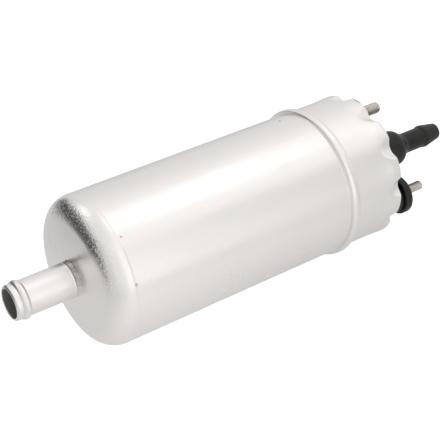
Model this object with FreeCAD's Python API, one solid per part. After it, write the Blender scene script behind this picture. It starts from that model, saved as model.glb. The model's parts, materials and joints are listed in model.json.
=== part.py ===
"""In-line electric fuel pump for a petrol car, in millimetres.

A drawn aluminium can holds a gerotor pump at the inlet end and a permanent-magnet motor behind it.
A moulded end cap closes the can: it carries the brushes, the check valve, the outlet spigot and
the two terminal studs. X runs along the pump from inlet to outlet and Z is up. The origin lies on
the axis, in the middle of the plain land of the can that the mounting clamp holds.
"""
import FreeCAD, Part
import math
import os

# Fits
fit_gap = 0.05
press_gap = 0.02
running_gap = 0.03
seat_gap = 0.02
cut_margin = 1.0
soft_corner = 1 - math.sqrt(0.5)
quarter_turns = 4

# Can, drawn from aluminium sheet
can_radius = 30.0
can_wall = 1.2
land_length = 100.3
shoulder_radius = 8.8
face_dome = 0.9
bead_width = 4.9
bead_height = 1.6
bead_crest_lead = 0.6
bead_flank_lag = 1.6
bead_flank_height = 0.55
bead_sag_height = 0.13
bead_run_out = 1.4
bead_to_rim = 25.5

# Rim of the can, rolled over the end cap and crimped
rim_radius = 2.4
lip_land = 1.1
dent_count = 11
dent_turn = 17.1
dent_radius = 5.0
dent_slope = 25.5
dent_reach = 7.5
punch_length = 20.0

# Inlet tube, with a hose bead near its mouth
inlet_length = 26.1
inlet_radius = 6.95
inlet_bore = 5.8
mouth_round = 1.2
hose_bead_place = 4.2
hose_bead_width = 3.0
hose_bead_height = 0.7
hose_bead_groove = 0.35
root_flare = 0.8
root_flare_length = 1.6
root_gap = 0.3
inlet_flange_radius = 11.0
inlet_flange_thickness = 1.5
gasket_thickness = 1.0
inlet_hole_gap = 0.15

# Pump plates and ring, stacked against the inlet flange
inlet_plate_thickness = 11.0
pump_ring_thickness = 10.0
outlet_plate_thickness = 8.0
inlet_plate_bevel = 8.0
channel_width = 5.0
channel_roof = 3.0
channel_depth = 3.0
dowel_radius = 1.5
dowel_circle = 22.5
dowel_bite = 4.0

# Gerotor
inner_lobes = 6
tooth_circle = 13.0
tooth_radius = 4.0
eccentricity = 1.3
rotor_gap = 0.08
outer_rotor_wall = 4.3
port_span = 100.0
port_width = 3.0
points_per_lobe = 12

# Relief valve, from the motor space back to the inlet
relief_ball_radius = 2.4
relief_seat_bore = 1.7
relief_seat_wall = 1.8
relief_seat_length = 4.0
relief_wall = 2.9
relief_bore_gap = 0.1
relief_drain_radius = 1.2
relief_spring_wire = 0.5
relief_spring_turns = 4

# Shaft and its bushes
shaft_radius = 3.0
shaft_flats = 4.6
shaft_end_gap = 0.3
bush_wall = 1.5
rear_bush_length = 9.0
washer_thickness = 0.8
washer_radius = 6.0

# Armature
air_gap = 0.5
slot_count = 8
slot_inner_radius = 8.5
slot_span = 25.0
slot_mouth = 6.0
tooth_tip = 1.6
end_turn_length = 7.0
winding_gap = 0.1
end_turn_round = 2.3
front_spacer_length = 9.0
spacer_radius = 6.0
commutator_length = 8.0
commutator_bar_thickness = 3.0
commutator_slit = 4.0
commutator_margin = 1.0
commutator_recess = 1.0

# Field: flux tube, two magnets and their clips
flux_tube_wall = 2.5
magnet_thickness = 6.0
magnet_span = 140.0
magnet_end_gap = 4.0
clip_thickness = 1.0
clip_depth = 4.5
clip_play = 0.5

# End cap, a black glass-filled moulding
skirt_depth = 39.25
skirt_wall = 2.5
deck_depth = 34.25
seal_place = 14.0
seal_wire = 1.1
seal_groove_play = 0.3
core_depth = 28.0
core_inner = 11.5
core_outer_wall = 2.2
core_span = 62.0
core_rib_span = 8.0
passage_circle = 7.2
passage_radius = 1.8
gallery_radius = 6.5
gallery_length = 8.0

# Brushes, pressed on the commutator's face
brush_circle = 10.0
brush_thickness = 5.0
brush_width = 7.0
brush_length = 12.0
brush_proud = 6.0
brush_well_depth = 16.0
brush_well_gap = 0.1
brush_spring_wire = 0.6
brush_spring_turns = 4

# Terminals, M5 and M4 studs on a diameter
terminal_turn = -51.5
stud_radii = (2.5, 2.0)
stud_end = 24.5
stud_chamfer = 0.5
thread_relief_length = 0.7
thread_relief_depth = 0.45
thread_start_gap = 0.5
shank_step = 0.1
stud_head_radius = 4.4
stud_head_thickness = 2.0
strap_thickness = 1.2
strap_width = 6.0
boss_radius = 7.0
boss_height = 9.3
boss_lip_gap = 0.1
boss_groove = 0.7
insulator_radii = (7.2, 8.3)
insulator_thickness = 3.7
insulator_round = 0.8
stud_seal_wire = 0.8

# Outlet fitting: a foot pressed into the cap, then the hub, neck and hose barb
hub_radius = 7.7
hub_end = 20.6
hub_brow = (22.25, 7.2)
hub_brow_end = (23.4, 6.45)
hub_hollow = (25.0, 5.2)
foot_radius = 6.6
neck_radius = 4.45
neck_start = 26.9
neck_end = 36.2
barb_radius = 4.9
barb_crest = 37.6
barb_land = 0.5
outlet_end = 45.9
outlet_tip_radius = 3.6
outlet_tip_round = 0.6
outlet_bore = 2.75

# Check valve in the hub
check_seat_length = 3.0
check_seat_wall = 2.8
check_seat_bore = 2.8
check_chamber_radius = 5.0
check_chamber_end_wall = 1.7
poppet_radius = 3.6
poppet_skirt = 4.0
poppet_pocket_radius = 2.8
poppet_pocket_wall = 1.0
poppet_rib_count = 3
poppet_rib_span = 22.0
poppet_rib_gap = 0.1
check_spring_wire = 0.5
check_spring_turns = 6

# Places along X that the sizes above give
land_start = -land_length / 2
face_centre = land_start - shoulder_radius - face_dome
inlet_mouth = face_centre - inlet_length
bead_centre = land_length / 2 + bead_width / 2
rim_end = bead_centre + bead_to_rim

shoulder_circle = can_radius - shoulder_radius
shoulder_depth = shoulder_radius + face_dome
dome_radius = (shoulder_depth ** 2 + shoulder_circle ** 2 - shoulder_radius ** 2) / (2 * face_dome)
dome_drop = dome_radius - math.sqrt(dome_radius ** 2 - inlet_flange_radius ** 2)

gasket_front = face_centre + can_wall + dome_drop + seat_gap
flange_front = gasket_front + gasket_thickness
inlet_plate_front = flange_front + inlet_flange_thickness
ring_front = inlet_plate_front + inlet_plate_thickness
outlet_plate_front = ring_front + pump_ring_thickness
outlet_plate_rear = outlet_plate_front + outlet_plate_thickness

skirt_front = rim_end - skirt_depth
deck_front = rim_end - deck_depth
cap_face = rim_end - can_wall - fit_gap
commutator_face = deck_front - brush_proud
washer_front = outlet_plate_rear + fit_gap
spacer_front = washer_front + washer_thickness
core_front = spacer_front + front_spacer_length
core_rear = commutator_face - commutator_length - end_turn_length

brush_front = commutator_face + fit_gap
brush_rear = brush_front + brush_length
well_end = deck_front + brush_well_depth
strap_rear = well_end + strap_thickness
head_rear = strap_rear + stud_head_thickness
gallery_front = head_rear
check_seat_front = gallery_front + gallery_length
check_seat_rear = check_seat_front + check_seat_length
check_chamber_end = rim_end + hub_end - check_chamber_end_wall
foot_end = check_seat_rear
boss_end = rim_end + boss_height
insulator_end = boss_end + insulator_thickness
thread_start = insulator_end + thread_start_gap

# Radii that the sizes above give
can_bore = can_radius - can_wall
stack_radius = can_bore - fit_gap
lip_radius = can_radius - rim_radius - lip_land
skirt_bore = stack_radius - skirt_wall
flux_tube_bore = stack_radius - flux_tube_wall
magnet_outer = flux_tube_bore - fit_gap
magnet_inner = magnet_outer - magnet_thickness
core_radius = magnet_inner - air_gap
slot_outer_radius = core_radius - tooth_tip
bush_radius = shaft_radius + running_gap + bush_wall
terminal_circle = lip_radius - boss_radius - boss_lip_gap
commutator_radius = brush_circle + brush_thickness / 2 + commutator_margin
commutator_bore = brush_circle - brush_thickness / 2 - commutator_margin

outer_lobes = inner_lobes + 1
outer_root = tooth_circle + 2 * eccentricity - tooth_radius + rotor_gap
outer_rotor_radius = outer_root + outer_rotor_wall
ring_bore = outer_rotor_radius + running_gap
port_outer = tooth_circle - tooth_radius + eccentricity + port_width / 2
port_inner = port_outer - port_width
relief_bore = relief_ball_radius + relief_bore_gap
relief_circle = ring_bore + relief_wall + relief_bore
relief_seat_radius = relief_seat_bore + relief_seat_wall
relief_ball_place = (outlet_plate_rear - relief_seat_length - seat_gap
                     - math.sqrt(relief_ball_radius ** 2 - relief_seat_bore ** 2))

origin = FreeCAD.Vector(0, 0, 0)
along_x = FreeCAD.Vector(1, 0, 0)


def turned(shape, angle):
    """A copy of the shape, turned about the pump's axis; +Z goes towards -Y."""
    copy = shape.copy()
    copy.rotate(origin, along_x, angle)
    return copy


def spots(count, first=0.0):
    """Evenly spaced angles round the axis."""
    return [first + 360.0 * number / count for number in range(count)]


def outline(start, *steps):
    """A closed face in the XZ plane from (x, radius) points; a step of two points is an arc."""
    def point(place):
        return FreeCAD.Vector(place[0], 0, place[1])

    edges = []
    here = start
    for step in steps + (start,):
        is_arc = isinstance(step[0], tuple)
        end = step[1] if is_arc else step
        if is_arc:
            edges.append(Part.Arc(point(here), point(step[0]), point(end)).toShape())
        elif end != here:
            edges.append(Part.LineSegment(point(here), point(end)).toShape())
        here = end
    return Part.Face(Part.Wire(edges))


def spun(face):
    """The solid that an outline sweeps about the pump's axis."""
    return face.revolve(origin, along_x, 360)


def on_circle(centre, radius, angle):
    """The (x, radius) point on a profile circle, the angle counted from +X outwards."""
    swing = math.radians(angle)
    return (centre[0] + radius * math.cos(swing), centre[1] + radius * math.sin(swing))


def rod(start, end, radius, off_y=0.0, off_z=0.0):
    """A cylinder along X."""
    return Part.makeCylinder(radius, end - start, FreeCAD.Vector(start, off_y, off_z), along_x)


def tube(start, end, outer, inner, off_y=0.0, off_z=0.0):
    """A cylinder along X with a bore through it."""
    return rod(start, end, outer, off_y, off_z).cut(rod(start, end, inner, off_y, off_z))


def block(start, end, width, low, high):
    """A box along X, centred on Y, between two heights."""
    corner = FreeCAD.Vector(start, -width / 2, low)
    return Part.makeBox(end - start, width, high - low, corner)


def sector(start, end, inner, outer, turn, span):
    """A piece of a ring between two radii, centred on an angle from +Z."""
    def point(radius, angle):
        swing = math.radians(angle)
        return FreeCAD.Vector(start, -radius * math.sin(swing), radius * math.cos(swing))

    first = turn - span / 2
    last = turn + span / 2
    edges = [
        Part.Arc(point(outer, first), point(outer, turn), point(outer, last)).toShape(),
        Part.LineSegment(point(outer, last), point(inner, last)).toShape(),
        Part.Arc(point(inner, last), point(inner, turn), point(inner, first)).toShape(),
        Part.LineSegment(point(inner, first), point(outer, first)).toShape(),
    ]
    return Part.Face(Part.Wire(edges)).extrude(along_x * (end - start))


def biarc(start, start_run, end, end_run):
    """Two arcs that join smoothly between two points with unit tangents."""
    chord = end - start
    both = start_run + end_run
    turn = 2 * (1 - start_run.dot(end_run))
    reach = (math.sqrt(chord.dot(both) ** 2 + turn * chord.dot(chord)) - chord.dot(both)) / turn
    corners = (start + start_run * reach, end - end_run * reach)
    joint = (corners[0] + corners[1]) / 2
    arcs = []
    for first, corner, last in ((start, corners[0], joint), (joint, corners[1], end)):
        weight = math.cos((corner - first).getAngle(last - corner) / 2)
        middle = (first + corner * (2 * weight) + last) / (2 + 2 * weight)
        arcs.append(Part.Arc(first, middle, last).toShape())
    return arcs


def coil_spring(start, end, mean_radius, wire, turns, off_z=0.0):
    """A round-wire compression spring between two planes, in quarter turns."""
    first = start + wire / 2 + seat_gap
    last = end - wire / 2 - seat_gap
    rise = (last - first) / (turns * quarter_turns)
    run = mean_radius * math.pi / 2

    def station(quarter):
        swing = quarter * math.pi / 2
        place = FreeCAD.Vector(first + quarter * rise, mean_radius * math.cos(swing),
                               off_z + mean_radius * math.sin(swing))
        heading = FreeCAD.Vector(rise, -run * math.sin(swing), run * math.cos(swing))
        return place, heading.normalize()

    stations = [station(quarter) for quarter in range(turns * quarter_turns + 1)]
    arcs = []
    for here, there in zip(stations, stations[1:]):
        arcs += biarc(*here, *there)
    section = Part.Wire([Part.makeCircle(wire / 2, *stations[0])])
    return Part.Wire(arcs).makePipeShell([section], True, False)


def o_ring(place, inner, outer, off_z=0.0):
    """A seal ring that fills the space between two radii."""
    wire = (outer - inner) / 2
    return Part.makeTorus(inner + wire, wire - seat_gap, FreeCAD.Vector(place, 0, off_z), along_x)


def shoulder_curves(shrink):
    """The front dome and shoulder of the can, drawn in by a wall, as outline steps."""
    shoulder_centre = (land_start, shoulder_circle)
    dome_centre = (face_centre + dome_radius, 0.0)
    lean = math.degrees(math.atan2(shoulder_circle, land_start - dome_centre[0]))
    hole_radius = inlet_radius + inlet_hole_gap
    hole_lean = 180.0 - math.degrees(math.asin(hole_radius / (dome_radius - shrink)))
    start = on_circle(dome_centre, dome_radius - shrink, hole_lean)
    dome_middle = on_circle(dome_centre, dome_radius - shrink, (hole_lean + lean) / 2)
    dome_end = on_circle(dome_centre, dome_radius - shrink, lean)
    shoulder_middle = on_circle(shoulder_centre, shoulder_radius - shrink, (lean + 90.0) / 2)
    shoulder_end = (land_start, can_radius - shrink)
    return start, dome_middle, dome_end, shoulder_middle, shoulder_end


def bead_steps(radius):
    """The rolled bead: a steep foot towards the inlet and a soft run-out behind it."""
    foot = (bead_centre - bead_width / 2, radius)
    crest = (bead_centre - bead_crest_lead, radius + bead_height)
    flank = (bead_centre + bead_flank_lag, radius + bead_flank_height)
    sag = (bead_centre + bead_width / 2, radius + bead_sag_height)
    tail = (bead_centre + bead_width / 2 + bead_run_out, radius)
    return [foot, (crest, flank), (sag, tail)]


def can_profile(inner_edge):
    """The outline of the can's wall, or of all that it encloses."""
    start, dome_middle, dome_end, shoulder_middle, shoulder_end = shoulder_curves(0.0)
    rim_centre = (rim_end - rim_radius, can_radius - rim_radius)
    outside = [
        (dome_middle, dome_end),
        (shoulder_middle, shoulder_end),
        *bead_steps(can_radius),
        (rim_centre[0], can_radius),
        (on_circle(rim_centre, rim_radius, 45.0), (rim_end, rim_centre[1])),
        (rim_end, lip_radius),
    ]
    if not inner_edge:
        return outline((start[0], 0.0), start, *outside, (rim_end, 0.0))
    inner_start, inner_dome, inner_dome_end, inner_shoulder, inner_land = shoulder_curves(can_wall)
    bead = bead_steps(can_bore)
    inside = [
        (rim_end - can_wall, lip_radius),
        (rim_end - can_wall, rim_centre[1]),
        (on_circle(rim_centre, rim_radius - can_wall, 45.0), (rim_centre[0], can_bore)),
        bead[2][1],
        (bead[2][0], bead[1][1]),
        (bead[1][0], bead[0]),
        inner_land,
        (inner_shoulder, inner_dome_end),
        (inner_dome, inner_start),
    ]
    return outline(start, *outside, *inside)


def crimp_punches(radius):
    """The round-nosed punches that fold the rim down, one between each pair of crests."""
    swing = math.radians(dent_slope)
    lean_in = FreeCAD.Vector(math.cos(swing), 0, -math.sin(swing))
    square_to_it = FreeCAD.Vector(math.sin(swing), 0, math.cos(swing))
    surface_point = FreeCAD.Vector(rim_end - dent_reach, 0, can_radius)
    foot = surface_point + square_to_it * dent_radius - lean_in * (punch_length / 3)
    punch = Part.makeCylinder(radius, punch_length, foot, lean_in)
    return [turned(punch, angle) for angle in spots(dent_count, dent_turn)]


def can():
    shell = spun(can_profile(inner_edge=True))
    envelope = spun(can_profile(inner_edge=False))
    rim_zone = tube(rim_end - dent_reach - can_wall, rim_end, can_radius + cut_margin, lip_radius)
    inside_rim = envelope.common(rim_zone)
    folds = [punch.common(inside_rim) for punch in crimp_punches(dent_radius + can_wall)]
    shell = shell.multiFuse(folds)
    return shell.cut(Part.makeCompound(crimp_punches(dent_radius)))


def inlet_tube():
    bead_start = inlet_mouth + hose_bead_place - hose_bead_width / 2
    bead_end = bead_start + hose_bead_width
    flare_end = face_centre - root_gap
    flare_start = flare_end - root_flare_length
    flange_rear = flange_front + inlet_flange_thickness
    mouth_soft = mouth_round * soft_corner
    profile = outline(
        (inlet_mouth, inlet_bore),
        ((inlet_mouth + mouth_soft, inlet_radius - mouth_soft), (inlet_mouth + mouth_round, inlet_radius)),
        (bead_start - hose_bead_groove, inlet_radius),
        (bead_start, inlet_radius - hose_bead_groove),
        ((inlet_mouth + hose_bead_place, inlet_radius + hose_bead_height), (bead_end, inlet_radius)),
        (flare_start, inlet_radius),
        ((flare_end - root_flare_length / 2, inlet_radius + root_flare / 4),
         (flare_end, inlet_radius + root_flare)),
        (flare_end, inlet_radius),
        (flange_front, inlet_radius),
        (flange_front, inlet_flange_radius),
        (flange_rear, inlet_flange_radius),
        (flange_rear, inlet_bore),
    )
    return spun(profile)


def inlet_gasket():
    return tube(gasket_front, flange_front, inlet_flange_radius, inlet_radius + inlet_hole_gap)


def dowel_holes(radius):
    holes = [rod(ring_front - dowel_bite, outlet_plate_front + dowel_bite, radius, off_y=dowel_circle),
             rod(ring_front - dowel_bite, outlet_plate_front + dowel_bite, radius, off_y=-dowel_circle)]
    return Part.makeCompound(holes)


def inlet_plate():
    nose_radius = stack_radius - inlet_plate_bevel
    plate = spun(outline(
        (inlet_plate_front, 0.0),
        (inlet_plate_front, nose_radius),
        (inlet_plate_front + inlet_plate_bevel, stack_radius),
        (ring_front, stack_radius),
        (ring_front, 0.0),
    ))
    channel_front = inlet_plate_front + channel_roof
    channel_rear = channel_front + channel_depth
    chamber = rod(inlet_plate_front, channel_rear, inlet_bore)
    channel = block(channel_front, channel_rear, channel_width, 0.0, relief_circle + relief_drain_radius)
    port = sector(channel_front, ring_front, port_inner, port_outer, 0.0, port_span)
    drain = rod(channel_front, ring_front, relief_drain_radius, off_z=relief_circle)
    return plate.cut([chamber, channel, port, drain, dowel_holes(dowel_radius + press_gap)])


def pump_ring():
    ring = rod(ring_front, outlet_plate_front, stack_radius)
    rotor_bore = rod(ring_front, outlet_plate_front, ring_bore, off_y=-eccentricity)
    spring_bore = rod(ring_front, outlet_plate_front, relief_bore, off_z=relief_circle)
    return ring.cut([rotor_bore, spring_bore, dowel_holes(dowel_radius + press_gap)])


def outlet_plate():
    plate = rod(outlet_plate_front, outlet_plate_rear, stack_radius)
    bush_seat = rod(outlet_plate_front, outlet_plate_rear, bush_radius + press_gap)
    port = sector(outlet_plate_front, outlet_plate_rear, port_inner, port_outer, 180.0, port_span)
    ball_bore = rod(outlet_plate_front, outlet_plate_rear, relief_bore, off_z=relief_circle)
    seat_front = outlet_plate_rear - relief_seat_length
    seat_bore = rod(seat_front, outlet_plate_rear, relief_seat_radius + press_gap, off_z=relief_circle)
    return plate.cut([bush_seat, port, ball_bore, seat_bore, dowel_holes(dowel_radius + press_gap)])


def plate_dowels():
    return dowel_holes(dowel_radius)


def rotor_point(swing):
    """A point of the inner rotor's profile and its tangent, on the path of an outer tooth's centre."""
    path_y = tooth_circle * math.cos(swing) - eccentricity * math.cos(outer_lobes * swing)
    path_z = tooth_circle * math.sin(swing) - eccentricity * math.sin(outer_lobes * swing)
    run_y = outer_lobes * eccentricity * math.sin(outer_lobes * swing) - tooth_circle * math.sin(swing)
    run_z = tooth_circle * math.cos(swing) - outer_lobes * eccentricity * math.cos(outer_lobes * swing)
    draw_in = (tooth_radius + rotor_gap) / math.hypot(run_y, run_z)
    point = FreeCAD.Vector(
        ring_front + running_gap, path_y - run_z * draw_in, path_z + run_y * draw_in)
    return point, FreeCAD.Vector(0, run_y, run_z)


def rotor_lobe(number):
    """One lobe of the inner rotor, from valley to valley."""
    stations = [2 * math.pi * (number + step / points_per_lobe) / inner_lobes
                for step in range(points_per_lobe + 1)]
    traced = [rotor_point(swing) for swing in stations]
    curve = Part.BSplineCurve()
    curve.interpolate(Points=[point for point, tangent in traced],
                      InitialTangent=traced[0][1], FinalTangent=traced[-1][1])
    return curve.toShape()


def inner_rotor():
    """Six lobes that roll inside the seven teeth of the outer rotor."""
    profile = Part.Wire([rotor_lobe(number) for number in range(inner_lobes)])
    rotor = Part.Face(profile).extrude(along_x * (pump_ring_thickness - 2 * running_gap))
    return rotor.cut(flatted_shaft_end(press_gap, ring_front, outlet_plate_front))


def outer_rotor():
    """Seven round teeth that point inwards."""
    front = ring_front + running_gap
    rear = outlet_plate_front - running_gap
    body = rod(front, rear, outer_rotor_radius)
    tooth = rod(front, rear, tooth_radius, off_y=tooth_circle)
    teeth = [turned(tooth, angle) for angle in spots(outer_lobes)]
    rotor = body.cut(rod(front, rear, outer_root).cut(Part.makeCompound(teeth)))
    rotor.translate(FreeCAD.Vector(0, -eccentricity, 0))
    return rotor


def relief_seat():
    seat_front = outlet_plate_rear - relief_seat_length
    return tube(seat_front, outlet_plate_rear, relief_seat_radius, relief_seat_bore, off_z=relief_circle)


def relief_ball():
    return Part.makeSphere(relief_ball_radius, FreeCAD.Vector(relief_ball_place, 0, relief_circle))


def relief_spring():
    mean_radius = relief_bore - relief_spring_wire
    dip = relief_ball_radius - math.sqrt(relief_ball_radius ** 2 - mean_radius ** 2)
    ball_front = relief_ball_place - relief_ball_radius + dip - relief_spring_wire / 2
    return coil_spring(ring_front, ball_front, mean_radius, relief_spring_wire, relief_spring_turns,
                       off_z=relief_circle)


def flatted_shaft_end(play, start, end):
    """The shaft's driving end: a round bar with two flats."""
    return rod(start, end, shaft_radius + play).common(
        block(start, end, 2 * (shaft_radius + cut_margin), -shaft_flats / 2 - play, shaft_flats / 2 + play))


def shaft():
    body = rod(outlet_plate_front, deck_front + rear_bush_length - shaft_end_gap, shaft_radius)
    return body.fuse(flatted_shaft_end(0.0, ring_front + shaft_end_gap, outlet_plate_front))


def front_bush():
    return tube(outlet_plate_front, outlet_plate_rear, bush_radius, shaft_radius + running_gap)


def rear_bush():
    return tube(deck_front, deck_front + rear_bush_length, bush_radius, shaft_radius + running_gap)


def thrust_washer():
    return tube(washer_front, spacer_front, washer_radius, shaft_radius + press_gap)


def armature_spacer():
    return tube(spacer_front, core_front, spacer_radius, shaft_radius + press_gap)


def armature_core():
    core = tube(core_front, core_rear, core_radius, shaft_radius + press_gap)
    slot = sector(core_front, core_rear, slot_inner_radius, slot_outer_radius, 0.0, slot_span)
    mouth = sector(core_front, core_rear, slot_outer_radius - cut_margin, core_radius + cut_margin,
                   0.0, slot_mouth)
    pocket = slot.fuse(mouth)
    return core.cut([turned(pocket, angle) for angle in spots(slot_count)])


def armature_winding():
    """Eight slot sides joined by a ring of end turns at each end."""
    inner = slot_inner_radius + winding_gap
    outer = slot_outer_radius - winding_gap
    play = math.degrees(2 * winding_gap / slot_inner_radius)
    front_turns = rounded_ring(core_front - end_turn_length, core_front, inner, outer)
    rear_turns = rounded_ring(core_rear, core_rear + end_turn_length, inner, outer)
    sides = [sector(core_front, core_rear, inner, outer, angle, slot_span - 2 * play)
             for angle in spots(slot_count)]
    return front_turns.multiFuse([rear_turns] + sides)


def rounded_ring(start, end, inner, outer):
    """The bunched end turns: a ring with a rounded outer corner at each end."""
    corner = end_turn_round
    soft = corner * soft_corner
    return spun(outline(
        (start, inner),
        (start, outer - corner),
        ((start + soft, outer - soft), (start + corner, outer)),
        (end - corner, outer),
        ((end - soft, outer - soft), (end, outer - corner)),
        (end, inner),
    ))


def commutator_hub():
    disc_front = core_rear + end_turn_length
    bars_front = commutator_face - commutator_bar_thickness
    return spun(outline(
        (core_rear, shaft_radius + press_gap),
        (core_rear, spacer_radius),
        (disc_front, spacer_radius),
        (disc_front, commutator_radius),
        (bars_front, commutator_radius),
        (bars_front, commutator_bore - press_gap),
        (commutator_face - commutator_recess, commutator_bore - press_gap),
        (commutator_face - commutator_recess, shaft_radius + press_gap),
    ))


def commutator_bars():
    bars_front = commutator_face - commutator_bar_thickness
    bar_span = 360.0 / slot_count - commutator_slit
    bars = [sector(bars_front, commutator_face, commutator_bore, commutator_radius, angle, bar_span)
            for angle in spots(slot_count)]
    return Part.makeCompound(bars)


def flux_tube():
    return tube(outlet_plate_rear, skirt_front, stack_radius, flux_tube_bore)


def magnets():
    front = outlet_plate_rear + magnet_end_gap
    rear = skirt_front - magnet_end_gap
    pair = [sector(front, rear, magnet_inner, magnet_outer, turn, magnet_span) for turn in (0.0, 180.0)]
    return Part.makeCompound(pair)


def magnet_clips():
    """Spring-steel channels that push the two magnets apart, one in each gap."""
    front = outlet_plate_rear + magnet_end_gap
    rear = skirt_front - magnet_end_gap
    play = math.degrees(clip_play / magnet_outer)
    clip_span = 180.0 - magnet_span - play
    flange_span = math.degrees(clip_thickness / magnet_outer)
    clips = []
    for turn in (90.0, 270.0):
        back = sector(front, rear, magnet_outer - clip_thickness, magnet_outer, turn, clip_span)
        flanges = [sector(front, rear, magnet_outer - clip_depth, magnet_outer,
                          turn + side * (clip_span - flange_span) / 2, flange_span)
                   for side in (-1, 1)]
        clips.append(back.multiFuse(flanges))
    return Part.makeCompound(clips)


def seal_places():
    """Where the cap's seal lies: its middle along X and the floor of its groove."""
    return rim_end - seal_place, can_bore - 2 * seal_wire


def end_cap_seal():
    place, floor = seal_places()
    return o_ring(place, floor, can_bore)


def terminal_turns():
    return (terminal_turn, terminal_turn + 180.0)


def end_cap():
    rim_zone = tube(skirt_front, rim_end, can_radius, lip_radius - fit_gap)
    notches = [punch.common(rim_zone) for punch in crimp_punches(dent_radius + can_wall + fit_gap)]
    cap = spun(end_cap_profile()).cut(notches)
    place, floor = seal_places()
    seal_half = seal_wire + seal_groove_play
    cuts = [
        tube(place - seal_half, place + seal_half, can_radius, floor),
        rod(deck_front, deck_front + rear_bush_length, bush_radius + press_gap),
        rod(gallery_front, check_seat_front, gallery_radius),
        rod(check_seat_front, check_seat_rear, check_seat_bore + check_seat_wall + press_gap),
        rod(foot_end, cap_face, foot_radius + press_gap),
    ]
    passage = rod(deck_front, gallery_front + cut_margin, passage_radius, off_z=passage_circle)
    core = sector(deck_front, deck_front + core_depth, core_inner, floor - core_outer_wall, 0.0, core_span)
    core_turns = [middle + side * (core_span + core_rib_span) / 2
                  for middle in (terminal_turn + 90.0, terminal_turn + 270.0) for side in (-1, 1)]
    cuts += [turned(passage, turn + 90.0) for turn in terminal_turns()]
    cuts += [turned(core, turn) for turn in core_turns]
    for turn, radius in zip(terminal_turns(), stud_radii):
        cuts += [turned(hollow, turn) for hollow in terminal_hollows(radius)]
    return cap.cut(cuts)


def end_cap_profile():
    """Skirt, shoulder under the rim and face."""
    rim_centre = (rim_end - rim_radius, can_radius - rim_radius)
    under_rim = rim_radius - can_wall - fit_gap
    return outline(
        (deck_front, 0.0),
        (deck_front, skirt_bore),
        (skirt_front, skirt_bore),
        (skirt_front, stack_radius),
        (rim_centre[0], stack_radius),
        (on_circle(rim_centre, under_rim, 45.0), (cap_face, rim_centre[1])),
        (cap_face, 0.0),
    )


def outlet_fitting():
    """Foot in the cap, hub with a sloping shoulder, neck and barb; the check valve works inside."""
    slope = (hub_brow, hub_brow_end, hub_hollow)
    brow, brow_end, hollow = ((rim_end + place, radius) for place, radius in slope)
    tip = outlet_tip_round
    tip_soft = tip * soft_corner
    return spun(outline(
        (foot_end, check_chamber_radius),
        (foot_end, foot_radius),
        (cap_face, foot_radius),
        (cap_face, hub_radius),
        (rim_end + hub_end, hub_radius),
        (brow, brow_end),
        (hollow, (rim_end + neck_start, neck_radius)),
        (rim_end + neck_end, neck_radius),
        (rim_end + barb_crest, barb_radius),
        (rim_end + barb_crest + barb_land, barb_radius),
        (rim_end + outlet_end - tip, outlet_tip_radius),
        ((rim_end + outlet_end - tip_soft, outlet_tip_radius - tip_soft),
         (rim_end + outlet_end, outlet_tip_radius - tip)),
        (rim_end + outlet_end, outlet_bore),
        (check_chamber_end, outlet_bore),
        (check_chamber_end, check_chamber_radius),
    ))


def seal_pocket(stud_radius):
    """The counterbore round a stud's foot for its seal: its depth and radius."""
    return 2 * stud_seal_wire + seal_groove_play, stud_radius + 2 * stud_seal_wire + press_gap


def terminal_hollows(stud_radius):
    """The brush well, strap slot, stud hole and seal pocket behind one terminal."""
    depth, pocket_radius = seal_pocket(stud_radius)
    well_half = brush_thickness / 2 + brush_well_gap
    return [
        block(deck_front, well_end, brush_width + 2 * brush_well_gap,
              brush_circle - well_half, brush_circle + well_half),
        block(well_end, strap_rear, strap_width, brush_circle - well_half, terminal_circle + strap_width / 2),
        rod(strap_rear, head_rear, stud_head_radius + press_gap, off_z=terminal_circle),
        rod(head_rear, cap_face, stud_radius + press_gap, off_z=terminal_circle),
        rod(cap_face - depth, cap_face, pocket_radius, off_z=terminal_circle),
    ]


def terminal_strap():
    low = brush_circle - brush_thickness / 2
    return block(well_end, strap_rear, strap_width, low, terminal_circle + strap_width / 2)


def terminal_stud(radius):
    """Head behind the cap, plain shank, relief groove and the thread's outside with a chamfer."""
    end = rim_end + stud_end
    shank_radius = radius - shank_step
    relief_start = thread_start - thread_relief_length
    stud = spun(outline(
        (strap_rear, 0.0),
        (strap_rear, stud_head_radius),
        (head_rear, stud_head_radius),
        (head_rear, shank_radius),
        (relief_start, shank_radius),
        (relief_start, radius - thread_relief_depth),
        (thread_start, radius - thread_relief_depth),
        (thread_start, radius),
        (end - stud_chamfer, radius),
        (end, radius - stud_chamfer),
        (end, 0.0),
    ))
    stud.translate(FreeCAD.Vector(0, 0, terminal_circle))
    return stud


def stud_seal(stud_radius):
    depth, pocket_radius = seal_pocket(stud_radius)
    return o_ring(cap_face - depth / 2, stud_radius - shank_step, pocket_radius, off_z=terminal_circle)


def terminal_insulator(stud_radius, insulator_radius):
    """A spool round the stud: a column on the cap's face, a groove and a disc with rounded rims."""
    groove_start = boss_end - boss_groove
    rim = insulator_radius - insulator_round
    soft = insulator_round * soft_corner
    hole = stud_radius + fit_gap
    spool = spun(outline(
        (cap_face, hole),
        (cap_face, boss_radius),
        (groove_start, boss_radius),
        (groove_start, boss_radius - boss_groove),
        (boss_end, boss_radius - boss_groove),
        (boss_end, rim),
        ((boss_end + soft, insulator_radius - soft), (boss_end + insulator_round, insulator_radius)),
        (insulator_end - insulator_round, insulator_radius),
        ((insulator_end - soft, insulator_radius - soft), (insulator_end, rim)),
        (insulator_end, hole),
    ))
    spool.translate(FreeCAD.Vector(0, 0, terminal_circle))
    return spool


def brush():
    half = brush_thickness / 2
    return block(brush_front, brush_rear, brush_width, brush_circle - half, brush_circle + half)


def brush_spring():
    mean_radius = brush_thickness / 2 - brush_spring_wire
    return coil_spring(brush_rear, well_end, mean_radius, brush_spring_wire, brush_spring_turns,
                       off_z=brush_circle)


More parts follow.
